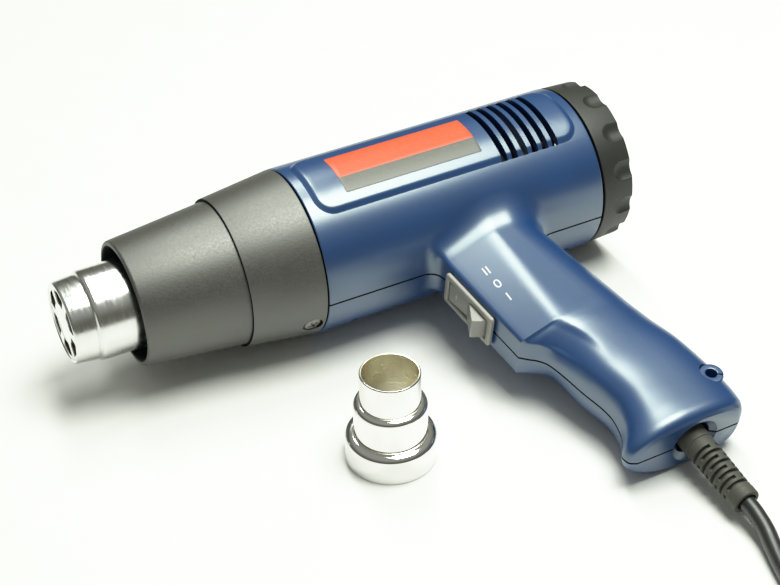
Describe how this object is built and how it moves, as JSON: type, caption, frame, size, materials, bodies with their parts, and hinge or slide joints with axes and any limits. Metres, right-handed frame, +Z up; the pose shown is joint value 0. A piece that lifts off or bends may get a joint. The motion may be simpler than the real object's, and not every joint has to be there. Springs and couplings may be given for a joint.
{
  "type": "hot air tool",
  "caption": "Pistol-grip hot air tool lying on its side, with heat guard, chrome outlet, rocker switch, ribbed cord entry, corded plug and a loose stepped reducer nozzle.",
  "frame": {"origin": "on the table, under the middle of the tool's bounding box without its free cord", "axes": "+X along the barrel from the outlet to the rear cap, +Z up from the table, the handle points to -Y"},
  "size_m": [0.3051, 0.3537, 0.0769],
  "materials": {
    "blue_housing": "satin",
    "guard_grey": "satin",
    "cap_grey": "satin",
    "relief_grey": "matte",
    "switch_frame": "satin",
    "switch_rocker": "satin",
    "chrome": "polished",
    "screw_steel": "satin",
    "inner_steel": "satin",
    "mica": "matte",
    "ceramic": "matte",
    "inner_plastic": "matte",
    "board": "matte",
    "brass": "satin",
    "cord": "satin",
    "plug_plastic": "satin",
    "plug_metal": "satin"
  },
  "bodies": {
    "tool": {"upper_housing": "blue_housing", "lower_housing": "blue_housing", "hanging_eyelet": "blue_housing", "guard_sleeve": "guard_grey", "guard_collar": "guard_grey", "rear_cap": "cap_grey", "strain_relief": "relief_grey", "switch_body": "switch_frame", "outlet_nozzle": "chrome", "outlet_grille": "chrome", "housing_screw_1": "screw_steel", "housing_screw_2": "screw_steel", "housing_screw_3": "screw_steel", "housing_screw_4": "screw_steel", "housing_screw_5": "screw_steel", "housing_screw_6": "screw_steel", "housing_screw_7": "screw_steel", "guard_screw_1": "screw_steel", "guard_screw_2": "screw_steel", "clamp_screw_1": "screw_steel", "clamp_screw_2": "screw_steel", "heater_wire": "inner_steel", "thermal_cutout": "inner_steel", "motor_can": "inner_steel", "inlet_screen": "inner_steel", "mica_tube": "mica", "heater_mount": "mica", "heater_core": "ceramic", "motor_frame": "inner_plastic", "cord_clamp": "inner_plastic", "suppressor_capacitor": "inner_plastic", "rectifier_board": "board", "switch_terminal_1": "brass", "switch_terminal_2": "brass", "switch_terminal_3": "brass", "cord_run": "cord", "cord_coil": "cord", "cord_tail": "cord", "cord_inner_end": "cord", "inner_lead_1": "cord", "inner_lead_2": "cord", "plug_body": "plug_plastic", "coil_tie": "plug_plastic", "plug_pin_1": "plug_metal", "plug_pin_2": "plug_metal"},
    "rocker": {"switch_rocker": "switch_rocker"},
    "fan": {"fan_impeller": "inner_plastic", "motor_shaft": "inner_steel"},
    "reducer": {"reducer_nozzle": "chrome"}
  },
  "joints": [
    {"name": "switch_rock", "type": "hinge", "parent": "tool", "child": "rocker", "pos_m": [0.02965, 0.0176, 0.02885], "axis": [-0.0044, -0.1498, 0.9887], "range_deg": [0, 26]},
    {"name": "fan_spin", "type": "hinge", "parent": "tool", "child": "fan", "pos_m": [-0.12754, 0.07931, 0.03751], "axis": [1, 0, 0.0044], "continuous": true},
    {"name": "reducer_lift", "type": "slide", "parent": "tool", "child": "reducer", "axis": [0, 0, 1], "range_m": [0, 0.06]}
  ]
}
